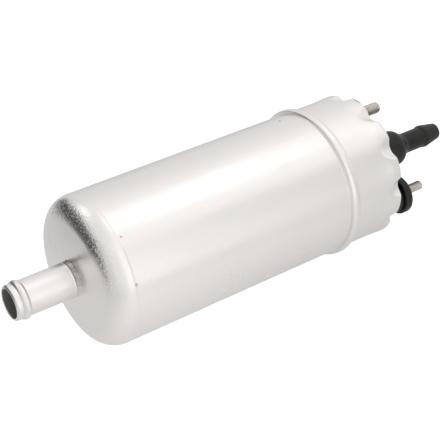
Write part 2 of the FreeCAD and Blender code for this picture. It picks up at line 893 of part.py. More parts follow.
def check_seat():
    return tube(check_seat_front, check_seat_rear, check_seat_bore + check_seat_wall, check_seat_bore)


def poppet_centre():
    return check_seat_rear + seat_gap + math.sqrt(poppet_radius ** 2 - check_seat_bore ** 2)


def check_poppet():
    """A round-nosed cup on the seat, kept central by ribs, with the spring in its pocket."""
    centre = (poppet_centre(), 0.0)
    rear = centre[0] + poppet_skirt
    pocket = centre[0] + poppet_pocket_wall
    cup = spun(outline(
        (centre[0] - poppet_radius, 0.0),
        (on_circle(centre, poppet_radius, 135.0), (centre[0], poppet_radius)),
        (rear, poppet_radius),
        (rear, poppet_pocket_radius),
        (pocket, poppet_pocket_radius),
        (pocket, 0.0),
    ))
    ribs = [sector(centre[0], rear, poppet_pocket_radius, check_chamber_radius - poppet_rib_gap,
                   angle, poppet_rib_span) for angle in spots(poppet_rib_count)]
    return cup.multiFuse(ribs)


def check_spring():
    mean_radius = poppet_pocket_radius - check_spring_wire
    pocket = poppet_centre() + poppet_pocket_wall
    return coil_spring(pocket, check_chamber_end, mean_radius, check_spring_wire, check_spring_turns)


def pieces():
    """Every piece of the pump under the name that a fitter would use."""
    plus, minus = terminal_turns()
    plus_radius, minus_radius = stud_radii
    plus_disc, minus_disc = insulator_radii
    return {
        "can": can(),
        "inlet_tube": inlet_tube(),
        "inlet_gasket": inlet_gasket(),
        "inlet_plate": inlet_plate(),
        "pump_ring": pump_ring(),
        "outlet_plate": outlet_plate(),
        "plate_dowels": plate_dowels(),
        "inner_rotor": inner_rotor(),
        "outer_rotor": outer_rotor(),
        "relief_seat": relief_seat(),
        "relief_ball": relief_ball(),
        "relief_spring": relief_spring(),
        "shaft": shaft(),
        "front_bush": front_bush(),
        "rear_bush": rear_bush(),
        "thrust_washer": thrust_washer(),
        "armature_spacer": armature_spacer(),
        "armature_core": armature_core(),
        "armature_winding": armature_winding(),
        "commutator_hub": commutator_hub(),
        "commutator_bars": commutator_bars(),
        "flux_tube": flux_tube(),
        "magnets": magnets(),
        "magnet_clips": magnet_clips(),
        "end_cap": end_cap(),
        "end_cap_seal": end_cap_seal(),
        "outlet_fitting": outlet_fitting(),
        "brush_plus": turned(brush(), plus),
        "brush_minus": turned(brush(), minus),
        "brush_spring_plus": turned(brush_spring(), plus),
        "brush_spring_minus": turned(brush_spring(), minus),
        "terminal_strap_plus": turned(terminal_strap(), plus),
        "terminal_strap_minus": turned(terminal_strap(), minus),
        "terminal_stud_m5": turned(terminal_stud(plus_radius), plus),
        "terminal_stud_m4": turned(terminal_stud(minus_radius), minus),
        "stud_seal_m5": turned(stud_seal(plus_radius), plus),
        "stud_seal_m4": turned(stud_seal(minus_radius), minus),
        "terminal_insulator_m5": turned(terminal_insulator(plus_radius, plus_disc), plus),
        "terminal_insulator_m4": turned(terminal_insulator(minus_radius, minus_disc), minus),
        "check_seat": check_seat(),
        "check_poppet": check_poppet(),
        "check_spring": check_spring(),
    }


os.makedirs("parts", exist_ok=True)
for name, shape in pieces().items():
    shape.exportStep(f"parts/{name}.step")
    print(f"{name}: {len(shape.Solids)} solid, {shape.Volume / 1000:.2f} cm3, valid {shape.isValid()}")
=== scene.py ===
"""The looks of an in-line electric fuel pump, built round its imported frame.

Everything is in metres in the frame's own axes: X runs from the inlet to the outlet, Z is up,
and the origin lies on the pump's axis in the middle of the can's plain land.
"""
import json
import math

import bmesh
import bpy
import numpy as np
from mathutils import Matrix, Vector


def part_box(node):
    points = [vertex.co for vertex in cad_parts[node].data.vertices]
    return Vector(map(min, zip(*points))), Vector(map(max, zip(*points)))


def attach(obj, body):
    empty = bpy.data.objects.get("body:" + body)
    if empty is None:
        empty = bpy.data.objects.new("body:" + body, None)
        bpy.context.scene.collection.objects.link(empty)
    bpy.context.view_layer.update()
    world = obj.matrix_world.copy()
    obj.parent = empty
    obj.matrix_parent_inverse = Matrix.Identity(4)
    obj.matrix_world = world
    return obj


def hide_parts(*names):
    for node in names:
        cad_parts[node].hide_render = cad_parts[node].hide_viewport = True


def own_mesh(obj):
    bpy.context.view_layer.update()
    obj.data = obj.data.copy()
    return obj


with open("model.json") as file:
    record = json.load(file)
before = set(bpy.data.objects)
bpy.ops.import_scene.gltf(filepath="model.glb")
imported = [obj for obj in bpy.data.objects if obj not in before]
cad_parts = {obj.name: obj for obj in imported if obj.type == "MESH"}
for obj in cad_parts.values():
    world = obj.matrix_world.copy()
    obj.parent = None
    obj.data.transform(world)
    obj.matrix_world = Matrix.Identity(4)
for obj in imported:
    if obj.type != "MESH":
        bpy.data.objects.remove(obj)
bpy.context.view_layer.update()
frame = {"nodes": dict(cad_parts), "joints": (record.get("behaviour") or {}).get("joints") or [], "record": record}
mm = 0.001

# Camera, at the photograph's viewing angle.
# It stands before the inlet, to the near side of the pump, and looks down along the can with a long lens.
sensor_width = 36.0
picture_width = 440
focal_pixels = 1223.0
camera_place = Vector((-0.2249, -0.3243, 0.2754))
camera_right = Vector((0.81287, -0.58244, 0.0))
camera_up = Vector((0.33163, 0.46284, 0.82207))

camera_data = bpy.data.cameras.new("camera")
camera_data.sensor_width = sensor_width
camera_data.lens = focal_pixels * sensor_width / picture_width
camera = bpy.data.objects.new("camera", camera_data)
bpy.context.scene.collection.objects.link(camera)
camera_turn = Matrix((camera_right, camera_up, camera_right.cross(camera_up))).transposed()
camera.matrix_world = Matrix.Translation(camera_place) @ camera_turn.to_4x4()
bpy.context.scene.camera = camera
bpy.context.scene.view_settings.view_transform = "Standard"


# Studio: a pale paper floor, a soft bright dome and two soft boxes. A bright wall on the near side
# and a curved card beyond the pump are there only for what the polished skin mirrors.
def new_material(name):
    """A material with its Principled shader: (material, node tree, shader)."""
    material = bpy.data.materials.new(name)
    material.use_nodes = True
    tree = material.node_tree
    return material, tree, tree.nodes["Principled BSDF"]


def new_object(name, points, faces):
    """A mesh object in the scene, from points in metres."""
    mesh = bpy.data.meshes.new(name)
    mesh.from_pydata([tuple(point) for point in points], [], faces)
    mesh.update()
    piece = bpy.data.objects.new(name, mesh)
    bpy.context.scene.collection.objects.link(piece)
    return piece


def place_node(tree, kind, **values):
    """A shader node with its inputs set by name."""
    node = tree.nodes.new(kind)
    for name, value in values.items():
        node.inputs[name.replace("_", " ")].default_value = value
    return node


def show_to(piece, rays):
    """Only the named kinds of ray see the piece."""
    for ray in ("camera", "diffuse", "glossy", "transmission", "shadow"):
        setattr(piece, f"visible_{ray}", ray in rays)


floor_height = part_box("can")[0][2]
floor_radius = 0.9
floor_sides = 96
floor_colour = (0.5, 0.5, 0.5)
floor_glow = 0.85
mirror_lift = 0.0002
mirror_colour = (0.42, 0.42, 0.42)


def paper_disc(name, height, colour, seen_by):
    """A round sheet of paper that only the named kinds of ray see: its tree and shader."""
    rim = [(floor_radius * math.cos(2 * math.pi * side / floor_sides),
            floor_radius * math.sin(2 * math.pi * side / floor_sides), height) for side in range(floor_sides)]
    disc = new_object(name, rim, [list(range(floor_sides))])
    material, tree, shader = new_material(name + "_paper")
    shader.inputs["Base Color"].default_value = (*colour, 1)
    shader.inputs["Roughness"].default_value = 0.95
    shader.inputs["Specular IOR Level"].default_value = 0.0
    shader.inputs["Emission Color"].default_value = (1, 1, 1, 1)
    disc.data.materials.append(material)
    show_to(disc, seen_by)
    return tree, shader


_, floor_white = paper_disc("floor", floor_height, floor_colour, ("camera", "diffuse", "shadow"))
floor_white.inputs["Emission Strength"].default_value = floor_glow
mirror_tree, mirror_white = paper_disc("floor_in_reflections", floor_height + mirror_lift,
                                       mirror_colour, ("glossy",))


def fill_ramp(ramp, tones):
    """Grey stops in a colour ramp: (position, tone) pairs."""
    ramp.elements[0].position = tones[0][0]
    ramp.elements[1].position = tones[-1][0]
    for place, tone in tones[1:-1]:
        ramp.elements.new(place)
    for element, (place, tone) in zip(ramp.elements, tones):
        element.color = (tone, tone, tone, 1)


def fade(tree, shader, stops_x, stops_y):
    """Light that changes along X and along Y; each stop is a place in metres and a share of the light."""
    place = tree.nodes.new("ShaderNodeTexCoord")
    split = tree.nodes.new("ShaderNodeSeparateXYZ")
    product = tree.nodes.new("ShaderNodeMath")
    product.operation = "MULTIPLY"
    tree.links.new(place.outputs["Object"], split.inputs[0])
    for slot_number, (axis, stops) in enumerate((("X", stops_x), ("Y", stops_y))):
        start, end = stops[0][0], stops[-1][0]
        change = place_node(tree, "ShaderNodeMapRange", From_Min=start, From_Max=end)
        ramp = tree.nodes.new("ShaderNodeValToRGB")
        fill_ramp(ramp.color_ramp, [((spot - start) / (end - start), tone) for spot, tone in stops])
        tree.links.new(split.outputs[axis], change.inputs["Value"])
        tree.links.new(change.outputs["Result"], ramp.inputs["Fac"])
        tree.links.new(ramp.outputs["Color"], product.inputs[slot_number])
    tree.links.new(product.outputs[0], shader.inputs["Emission Strength"])


# Painted light and shade: the floor seen only in reflections glows, dimmer towards both ends of the pump and
# towards the far side.
mirror_tones = ((-0.13, 0.33), (-0.10, 0.44), (-0.08, 0.50), (-0.06, 0.53), (-0.03, 0.524), (0.16, 0.32))
mirror_tones_across = ((-0.10, 1.0), (0.06, 0.66))
fade(mirror_tree, mirror_white, mirror_tones, mirror_tones_across)

wall_place = -0.40
wall_height = 0.52
wall_ends = (-0.50, 0.90)
wall_corners = [(wall_ends[0], wall_place, floor_height), (wall_ends[1], wall_place, floor_height),
                (wall_ends[1], wall_place, wall_height), (wall_ends[0], wall_place, wall_height)]
side_wall = new_object("side_wall", wall_corners, [(0, 1, 2, 3)])
wall_material, wall_tree, wall_shader = new_material("side_wall")
wall_shader.inputs["Base Color"].default_value = (0, 0, 0, 1)
wall_shader.inputs["Specular IOR Level"].default_value = 0.0
wall_shader.inputs["Emission Color"].default_value = (1, 1, 1, 1)
wall_tones = ((-0.50, 0.84), (-0.12, 0.86), (-0.05, 0.96), (0.0, 1.16),
              (0.08, 1.16), (0.13, 1.0), (0.42, 0.66))
even_tones = ((-1.0, 1.0), (1.0, 1.0))
fade(wall_tree, wall_shader, wall_tones, even_tones)
side_wall.data.materials.append(wall_material)
show_to(side_wall, ("glossy",))

card_foot = Vector((-0.055, 0.0, 0.0))

# A card stands on the floor along its stations: the angle round its foot, the reach and the top.
dark_card = (
    (84, 0.33, 0.055), (95, 0.33, 0.095), (107, 0.32, 0.14), (117, 0.25, 0.145), (125, 0.171, 0.118),
    (130, 0.12, 0.092), (137, 0.10, 0.084), (144, 0.107, 0.088), (153, 0.119, 0.086),
    (160, 0.13, 0.089), (166, 0.142, 0.092), (178, 0.16, 0.105), (182, 0.165, 0.05),
)
grey_card = ((182, 0.165, 0.05), (192, 0.18, 0.04))
cards = (("dark_card", dark_card, (0.055, 0.055, 0.052)), ("grey_card", grey_card, (0.30, 0.30, 0.29)))
for card_name, stations, card_colour in cards:
    card_points = []
    for azimuth, reach, top in stations:
        swing = math.radians(azimuth)
        spot = card_foot + Vector((math.cos(swing), math.sin(swing), 0.0)) * reach
        card_points += [(spot.x, spot.y, floor_height), (spot.x, spot.y, top)]
    card_faces = [(2 * step, 2 * step + 2, 2 * step + 3, 2 * step + 1) for step in range(len(stations) - 1)]
    card = new_object(card_name, card_points, card_faces)
    card_material, _, card_shader = new_material(card_name)
    card_shader.inputs["Base Color"].default_value = (*card_colour, 1)
    card_shader.inputs["Roughness"].default_value = 0.9
    card.data.materials.append(card_material)
    show_to(card, ("glossy",))

dome_tones = ((0.0, 0.80), (0.3, 0.84), (0.58, 0.87), (0.72, 0.99), (0.85, 0.97), (0.95, 0.92))
dome_brighter_towards = (0.15, -0.09, 0.0)
dome_strength = 0.938
world = bpy.data.worlds.new("studio")
bpy.context.scene.world = world
world.use_nodes = True
dome = world.node_tree
dome_place = dome.nodes.new("ShaderNodeTexCoord")
dome_split = dome.nodes.new("ShaderNodeSeparateXYZ")
dome_ramp = dome.nodes.new("ShaderNodeValToRGB")
dome_lean = dome.nodes.new("ShaderNodeVectorMath")
dome_lean.operation = "DOT_PRODUCT"
dome_lean.inputs[1].default_value = dome_brighter_towards
dome_level = dome.nodes.new("ShaderNodeMath")
dome_level.inputs[1].default_value = dome_strength
dome.links.new(dome_place.outputs["Generated"], dome_split.inputs[0])
dome.links.new(dome_place.outputs["Generated"], dome_lean.inputs[0])
dome.links.new(dome_split.outputs["Z"], dome_ramp.inputs["Fac"])
dome.links.new(dome_lean.outputs["Value"], dome_level.inputs[0])
dome.links.new(dome_ramp.outputs["Color"], dome.nodes["Background"].inputs["Color"])
dome.links.new(dome_level.outputs[0], dome.nodes["Background"].inputs["Strength"])
fill_ramp(dome_ramp.color_ramp, dome_tones)


def soft_light(name, place, aim, size, power):
    """A square soft box that points at a place, with its size in metres and its power in watts."""
    data = bpy.data.lights.new(name, "AREA")
    data.size = size
    data.energy = power
    lamp = bpy.data.objects.new(name, data)
    bpy.context.scene.collection.objects.link(lamp)
    lamp.location = place
    lamp.rotation_euler = (Vector(aim) - Vector(place)).to_track_quat("-Z", "Y").to_euler()


soft_light("key_box", (0.20, 0.02, 0.52), (0.02, 0.0, 0.0), 0.30, 0.092)
soft_light("shoulder_box", (-0.163, 0.268, 0.345), (-0.055, 0.0, 0.0), 0.17, 0.046)


# Can: one deep-drawn aluminium shell with a domed face, a rolled bead and a rim rolled over the cap.
# Eleven round punches crimp the rim, and a thin collar of braze holds the inlet tube in the face.
# The skin is bright from the drawing tool, with fine grain, small scuffs and a few pits.
can_low, can_high = (Vector(corner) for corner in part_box("can"))
can_radius = 30.0 * mm
can_wall = 1.2 * mm
shoulder_radius = 8.8 * mm
shoulder_depth = 9.7 * mm
tube_hole = 6.95 * mm
collar_front = can_low.x - 1.7 * mm
collar_radius = 6.98 * mm
collar_fillet = 0.25 * mm
collar_round = 0.03 * mm
collar_depth = 1.0 * mm
land_start = can_low.x + shoulder_depth
bead_height = 1.6 * mm
bead_foot = can_high.x - 27.75 * mm
bead_crest = bead_foot + 1.85 * mm
bead_flank_radii = (2.9 * mm, 2.42 * mm)
bead_flank_lean = (34.0, 60.0)
bead_clear = 1.2 * mm
bead_length = 7.0 * mm
foot_groove = 0.09 * mm
foot_burr = 0.10 * mm
draw_line_start = 0.1 * mm
draw_line_height = 0.06 * mm
draw_line_width = 0.5 * mm
draw_line_clear = 1.0 * mm
rim_end = can_high.x
rim_radius = 2.4 * mm
lip_radius = 26.5 * mm
lip_round = 0.12 * mm
lathe_turns = 384
soft_edge = 30.0

# Steps up the bead's foot: the place along the can and the height over its skin.
bead_foot_steps = (
    (-1.1 * mm, 0.0), (-0.8 * mm, foot_burr / 3), (-0.45 * mm, foot_burr), (-0.30 * mm, foot_burr / 2),
    (-0.12 * mm, -foot_groove), (0.0, -foot_groove), (0.08 * mm, 0.50 * mm), (0.14 * mm, 0.92 * mm),
)


def arc(centre, radius, start, end, steps):
    """Points (x, r) on a circle in the profile plane, angles in degrees from +X outwards."""
    return [(centre[0] + radius * math.cos(math.radians(start + (end - start) * step / steps)),
             centre[1] + radius * math.sin(math.radians(start + (end - start) * step / steps)))
            for step in range(steps + 1)]


def line(start, end, steps):
    """Evenly spaced points between two profile points, both ends included."""
    return [(start[0] + (end[0] - start[0]) * step / steps, start[1] + (end[1] - start[1]) * step / steps)
            for step in range(steps + 1)]


def lathe(name, profile, turns=lathe_turns):
    """A closed ring of (x, r) points spun about the X axis; points closer than a hair are merged."""
    ring = [profile[0]]
    for point in profile[1:]:
        if math.dist(point, ring[-1]) > 1e-6:
            ring.append(point)
    if math.dist(ring[0], ring[-1]) < 1e-6:
        ring.pop()
    count = len(ring)
    swings = 2 * math.pi * np.arange(turns) / turns
    across = np.array([point[0] for point in ring])
    radii = np.array([point[1] for point in ring])
    points = np.stack([
        np.broadcast_to(across, (turns, count)),
        -np.outer(np.sin(swings), radii),
        np.outer(np.cos(swings), radii),
    ], axis=2).reshape(-1, 3)
    faces = []
    for turn in range(turns):
        here, there = turn * count, (turn + 1) % turns * count
        for step in range(count):
            after = (step + 1) % count
            faces.append((here + step, there + step, there + after, here + after))
    piece = new_object(name, points, faces)
    finish_mesh(piece, soft_edge)
    return piece


def finish_mesh(piece, keep_sharp):
    """Faces point outwards, doubles on the axis go, and shading is smooth up to an angle."""
    cleaned = bmesh.new()
    cleaned.from_mesh(piece.data)
    bmesh.ops.remove_doubles(cleaned, verts=cleaned.verts, dist=1e-7)
    bmesh.ops.recalc_face_normals(cleaned, faces=cleaned.faces)
    cleaned.to_mesh(piece.data)
    cleaned.free()
    piece.data.shade_smooth()
    piece.data.set_sharp_from_angle(angle=math.radians(keep_sharp))


def shell_front(shrink):
    """The dome and shoulder from the tube's hole to the land, drawn in by a wall."""
    circle = can_radius - shoulder_radius
    bulge = shoulder_depth - shoulder_radius
    dome_radius = (shoulder_depth ** 2 + circle ** 2 - shoulder_radius ** 2) / (2 * bulge)
    dome_centre = (can_low.x + dome_radius, 0.0)
    lean = math.degrees(math.atan2(circle, land_start - dome_centre[0]))
    inner_radius = tube_hole if shrink else collar_radius + collar_fillet
    hole = 180.0 - math.degrees(math.asin(inner_radius / (dome_radius - shrink)))
    return (arc(dome_centre, dome_radius - shrink, hole, lean, 24)
            + arc((land_start, circle), shoulder_radius - shrink, lean, 90.0, 28))


def collar(fillet_end):
    """The braze round the tube: a hollow fillet that climbs from the face to a thin edge."""
    return (
        [(collar_front, tube_hole)]
        + arc((collar_front + collar_round, collar_radius - collar_round), collar_round, 180.0, 90.0, 5)
        + arc((fillet_end - collar_fillet, collar_radius + collar_fillet), collar_fillet, 270.0, 360.0, 12)
    )


def shell_bead(radius):
    """The rolled bead: a burr and a groove at its steep foot, a round crest and a soft run-out."""
    crest = radius + bead_height
    front, rear = bead_flank_radii
    front_lean, rear_lean = bead_flank_lean
    run_start = (bead_crest + rear * math.sin(math.radians(rear_lean)),
                 crest - rear * (1 - math.cos(math.radians(rear_lean))))
    run_radius = (run_start[1] - radius) / (1 - math.cos(math.radians(rear_lean)))
    run_end = run_start[0] + run_radius * math.sin(math.radians(rear_lean))
    return (
        [(bead_foot + along, radius + height) for along, height in bead_foot_steps]
        + arc((bead_crest, crest - front), front, 90.0 + front_lean, 90.0, 14)
        + arc((bead_crest, crest - rear), rear, 90.0, 90.0 - rear_lean, 12)[1:]
        + arc((run_end, radius + run_radius), run_radius, 270.0 - rear_lean, 270.0, 12)[1:]
    )


rim_centre = (rim_end - rim_radius, can_radius - rim_radius)
crimp_zone = rim_end - 13.0 * mm
front_skin = shell_front(0.0)
can_outside = (
    collar(front_skin[0][0])
    + front_skin
    + [(land_start + draw_line_start + draw_line_width * step / 8,
        can_radius + draw_line_height * math.sin(math.pi * step / 8) ** 2) for step in range(1, 8)]
    + line((land_start + draw_line_clear, can_radius), (bead_foot - bead_clear, can_radius), 40)
    + shell_bead(can_radius)
    + line((bead_foot + bead_length, can_radius), (crimp_zone, can_radius), 8)
    + line((crimp_zone, can_radius), (rim_centre[0], can_radius), 40)
    + arc(rim_centre, rim_radius, 90.0, 0.0, 24)
    + arc((rim_end - lip_round, lip_radius + lip_round), lip_round, 0.0, -90.0, 4)
)
can_inside = (
    line((rim_end - can_wall, lip_radius), (rim_end - can_wall, rim_centre[1]), 4)
    + arc(rim_centre, rim_radius - can_wall, 0.0, 90.0, 12)
    + line((rim_centre[0], can_radius - can_wall), (land_start, can_radius - can_wall), 24)
    + shell_front(can_wall)[::-1]
)
can_shell = lathe("can_drawn", can_outside + can_inside)

# Crimping: a point under the skin slides in along the punch's square, softly at the punch's edge.
dent_count = 11
dent_turn = math.radians(17.1)
dent_radius = 5.0 * mm
dent_slope = math.radians(25.5)
dent_reach = 7.5 * mm
dent_soft = 0.30 * mm
dent_edge = 0.8 * mm
dent_depth_limit = 1.3 * mm
dent_fold_angle = 42.0
crest_bulge = 0.4 * mm
crest_run = 8.0 * mm


def crimp(piece):
    """Presses the punches into a piece of the rim, which swells between them; layers keep their depth."""
    places = np.empty(len(piece.data.vertices) * 3)
    piece.data.vertices.foreach_get("co", places)
    places = places.reshape(-1, 3)
    radii = np.hypot(places[:, 1], places[:, 2])
    swings = np.arctan2(-places[:, 1], places[:, 2])
    from_rim = np.hypot(places[:, 0] - rim_centre[0], radii - rim_centre[1]) - rim_radius
    under = np.where(places[:, 0] < rim_centre[0], radii - can_radius,
                     np.where(radii < rim_centre[1], places[:, 0] - rim_end, from_rim))
    layer = dent_radius + np.clip(-under, 0.0, dent_depth_limit)
    pitch = 2 * math.pi / dent_count
    from_dent = (swings - dent_turn + pitch / 2) % pitch - pitch / 2
    outward = radii * np.cos(from_dent) - can_radius
    sideways = radii * np.sin(from_dent)
    along = places[:, 0] - (rim_end - dent_reach)
    height = along * math.sin(dent_slope) + outward * math.cos(dent_slope)
    floor = dent_radius - np.sqrt(np.maximum(layer ** 2 - sideways ** 2, 0.0))
    inside = (np.abs(sideways) < layer) & (places[:, 0] > crimp_zone)
    over = np.clip((height - floor) / dent_soft, -40, 40)
    slide = np.where(inside, -dent_soft * np.log1p(np.exp(over)), 0.0)
    slide *= np.clip((layer - np.abs(sideways)) / dent_edge, 0.0, 1.0)
    centre_swing = swings - from_dent
    crest = (0.5 - 0.5 * np.cos(2 * math.pi * from_dent / pitch)) ** 2
    crest *= np.clip((places[:, 0] - crimp_zone) / crest_run, 0.0, 1.0) ** 2
    out_from_lip = np.clip((radii - lip_radius) / (can_radius - lip_radius), 0.0, 1.0)
    swell = 1.0 + crest_bulge * crest * out_from_lip / radii
    places[:, 1:] *= swell[:, None]
    places[:, 0] += slide * math.sin(dent_slope)
    places[:, 1] -= np.sin(centre_swing) * slide * math.cos(dent_slope)
    places[:, 2] += np.cos(centre_swing) * slide * math.cos(dent_slope)
    piece.data.vertices.foreach_set("co", places.reshape(-1))
    piece.data.update()


crimp(can_shell)
can_shell.data.set_sharp_from_angle(angle=math.radians(dent_fold_angle))


# The can's skin: tool grain, scuffs and pits, which the other metals of the pump have too.
def new_group(name, inputs, outputs):
    """A shader node group with named number inputs and outputs."""
    group = bpy.data.node_groups.new(name, "ShaderNodeTree")
    for socket, value in inputs.items():
        made = group.interface.new_socket(socket, in_out="INPUT", socket_type="NodeSocketFloat")
        made.default_value = value
    for socket in outputs:
        group.interface.new_socket(socket, in_out="OUTPUT", socket_type="NodeSocketFloat")
    return group, group.nodes.new("NodeGroupInput"), group.nodes.new("NodeGroupOutput")


def maths(tree, operation, first, second):
    """A math node fed by sockets or plain numbers; gives its output socket."""
    node = tree.nodes.new("ShaderNodeMath")
    node.operation = operation
    for slot_number, feed in enumerate((first, second)):
        if isinstance(feed, (int, float)):
            node.inputs[slot_number].default_value = feed
        else:
            tree.links.new(feed, node.inputs[slot_number])
    return node.outputs[0]


def spread(tree, feed, low, high, to_low=0.0, to_high=1.0):
    """A value remapped, clamped and smoothed between two limits."""
    node = tree.nodes.new("ShaderNodeMapRange")
    node.interpolation_type = "SMOOTHSTEP"
    tree.links.new(feed, node.inputs["Value"])
    node.inputs["From Min"].default_value = low
    node.inputs["From Max"].default_value = high
    node.inputs["To Min"].default_value = to_low
    node.inputs["To Max"].default_value = to_high
    return node.outputs["Result"]


def drawn_grain_group():
    """Fine tool grain with faint lines along the draw, as one height."""
    group, inward, outward = new_group("drawn_grain", {"Grain": 900.0, "Lines": 260.0}, ("Height",))
    place = group.nodes.new("ShaderNodeTexCoord")
    stretch = group.nodes.new("ShaderNodeMapping")
    stretch.inputs["Scale"].default_value = (0.03, 1.0, 1.0)
    group.links.new(place.outputs["Object"], stretch.inputs["Vector"])
    peel = place_node(group, "ShaderNodeTexNoise", Detail=4.0, Roughness=0.6)
    group.links.new(place.outputs["Object"], peel.inputs["Vector"])
    group.links.new(inward.outputs["Grain"], peel.inputs["Scale"])
    lines = place_node(group, "ShaderNodeTexNoise", Detail=3.0, Roughness=0.55)
    group.links.new(stretch.outputs["Vector"], lines.inputs["Vector"])
    group.links.new(inward.outputs["Lines"], lines.inputs["Scale"])
    both = maths(group, "ADD", peel.outputs["Fac"], maths(group, "MULTIPLY", lines.outputs["Fac"], 0.5))
    group.links.new(both, outward.inputs["Height"])
    return group


def scuff_group():
    """Scattered short scuffs and small pits: masks from 0 to 1."""
    group, inward, outward = new_group("scuffs", {"Scale": 60.0, "Pit Scale": 90.0},
                                       ("Scuffs", "Pits", "Cloud"))
    place = group.nodes.new("ShaderNodeTexCoord")
    tilt = group.nodes.new("ShaderNodeMapping")
    tilt.inputs["Rotation"].default_value = (0.4, 0.9, 0.3)
    tilt.inputs["Scale"].default_value = (0.25, 2.2, 1.0)
    group.links.new(place.outputs["Object"], tilt.inputs["Vector"])
    strokes = place_node(group, "ShaderNodeTexNoise", Detail=3.0, Roughness=0.5)
    group.links.new(tilt.outputs["Vector"], strokes.inputs["Vector"])
    group.links.new(inward.outputs["Scale"], strokes.inputs["Scale"])
    patches = place_node(group, "ShaderNodeTexNoise", Scale=28.0, Detail=3.0)
    group.links.new(place.outputs["Object"], patches.inputs["Vector"])
    worn = maths(group, "MULTIPLY", spread(group, strokes.outputs["Fac"], 0.52, 0.70),
                 spread(group, patches.outputs["Fac"], 0.42, 0.66))
    group.links.new(worn, outward.inputs["Scuffs"])
    cells = group.nodes.new("ShaderNodeTexVoronoi")
    cells.inputs["Randomness"].default_value = 1.0
    group.links.new(place.outputs["Object"], cells.inputs["Vector"])
    group.links.new(inward.outputs["Pit Scale"], cells.inputs["Scale"])
    chance = group.nodes.new("ShaderNodeSeparateColor")
    group.links.new(cells.outputs["Color"], chance.inputs["Color"])
    few = spread(group, chance.outputs["Red"], 0.90, 0.92)
    pits = maths(group, "MULTIPLY", spread(group, cells.outputs["Distance"], 0.05, 0.02), few)
    group.links.new(pits, outward.inputs["Pits"])
    cloud = place_node(group, "ShaderNodeTexNoise", Scale=34.0, Detail=4.0, Roughness=0.5)
    group.links.new(place.outputs["Object"], cloud.inputs["Vector"])
    group.links.new(spread(group, cloud.outputs["Fac"], 0.3, 0.7), outward.inputs["Cloud"])
    return group


drawn_grain = drawn_grain_group()
scuffs = scuff_group()


def use_group(tree, group, **values):
    """The group placed in a material with its own values."""
    node = tree.nodes.new("ShaderNodeGroup")
    node.node_tree = group
    for name, value in values.items():
        node.inputs[name.replace("_", " ")].default_value = value
    return node


def mix_colour(tree, factor, first, second):
    """A colour mixed by a mask; each colour is a socket or a plain triple."""
    node = tree.nodes.new("ShaderNodeMix")
    node.data_type = "RGBA"
    tree.links.new(factor, node.inputs["Factor"])
    for name, feed in (("A", first), ("B", second)):
        socket = [each for each in node.inputs if each.name == name and each.type == "RGBA"][0]
        if isinstance(feed, tuple):
            socket.default_value = (*feed, 1.0)
        else:
            tree.links.new(feed, socket)
    return [each for each in node.outputs if each.type == "RGBA"][0]


def bump(tree, shader, height, distance, strength):
    """Feeds a height to the shader's normal as a relief of a given depth in metres."""
    node = tree.nodes.new("ShaderNodeBump")
    node.inputs["Distance"].default_value = distance
    node.inputs["Strength"].default_value = strength
    tree.links.new(height, node.inputs["Height"])
    tree.links.new(node.outputs["Normal"], shader.inputs["Normal"])


can_colour = (0.90, 0.875, 0.855)
can_scuff_colour = (0.80, 0.775, 0.755)
can_pit_colour = (0.30, 0.28, 0.27)
skin_roughness = (0.27, 0.34)
can_scuff_share = 0.35
can_scuff_dullness = 0.10
can_relief = 0.000024
peel_relief = 12.0
peel_start = 0.8 * mm
peel_full = 1.9 * mm
peel_fading = 6.0 * mm
peel_end = 0.5 * mm
peel_height = 12.0 * mm

# Two nicks near the front: the place behind the land's start, the swing from the top and the size.
nicks = ((0.9 * mm, math.radians(70.5), 1.05 * mm), (1.8 * mm, math.radians(36.0), 0.8 * mm))

can_metal, can_tree, can_shader = new_material("can_aluminium")
can_shader.inputs["Metallic"].default_value = 1.0
can_grain = use_group(can_tree, drawn_grain, Grain=1500.0, Lines=420.0)
can_marks = use_group(can_tree, scuffs, Scale=70.0, Pit_Scale=70.0)
can_worn = mix_colour(can_tree, maths(can_tree, "MULTIPLY", can_marks.outputs["Scuffs"], can_scuff_share),
                      can_colour, can_scuff_colour)
can_place = can_tree.nodes.new("ShaderNodeTexCoord")
can_pits = can_marks.outputs["Pits"]
for behind_start, swing, size in nicks:
    gap = can_tree.nodes.new("ShaderNodeVectorMath")
    gap.operation = "DISTANCE"
    gap.inputs[1].default_value = (land_start + behind_start, -can_radius * math.sin(swing),
                                   can_radius * math.cos(swing))
    can_tree.links.new(can_place.outputs["Object"], gap.inputs[0])
    ragged = maths(can_tree, "ADD", gap.outputs["Value"],
                   maths(can_tree, "MULTIPLY", can_grain.outputs["Height"], 0.4 * size))
    nick = spread(can_tree, ragged, 1.2 * size, 0.6 * size, 0.0, 0.6)
    can_pits = maths(can_tree, "MAXIMUM", can_pits, nick)
can_pitted = mix_colour(can_tree, can_pits, can_worn, can_pit_colour)
can_tree.links.new(can_pitted, can_shader.inputs["Base Color"])
can_rough = maths(can_tree, "ADD", spread(can_tree, can_marks.outputs["Cloud"], 0.0, 1.0, *skin_roughness),
                  maths(can_tree, "MULTIPLY", can_marks.outputs["Scuffs"], can_scuff_dullness))
can_split = can_tree.nodes.new("ShaderNodeSeparateXYZ")
can_tree.links.new(can_place.outputs["Object"], can_split.inputs[0])
off_face = spread(can_tree, can_split.outputs["X"], can_low.x + peel_start, can_low.x + peel_full)
off_land = spread(can_tree, can_split.outputs["X"], land_start - peel_end, land_start - peel_fading)
upper_half = spread(can_tree, can_split.outputs["Z"], 0.0, peel_height)
stretched = maths(can_tree, "MULTIPLY", maths(can_tree, "MULTIPLY", off_face, off_land), upper_half)
peel = place_node(can_tree, "ShaderNodeTexNoise", Scale=1350.0, Detail=2.0, Roughness=0.6)
can_tree.links.new(can_place.outputs["Object"], peel.inputs["Vector"])
peel_here = maths(can_tree, "MULTIPLY", peel.outputs["Fac"], stretched)
peel_bump = maths(can_tree, "MULTIPLY", peel_here, peel_relief)
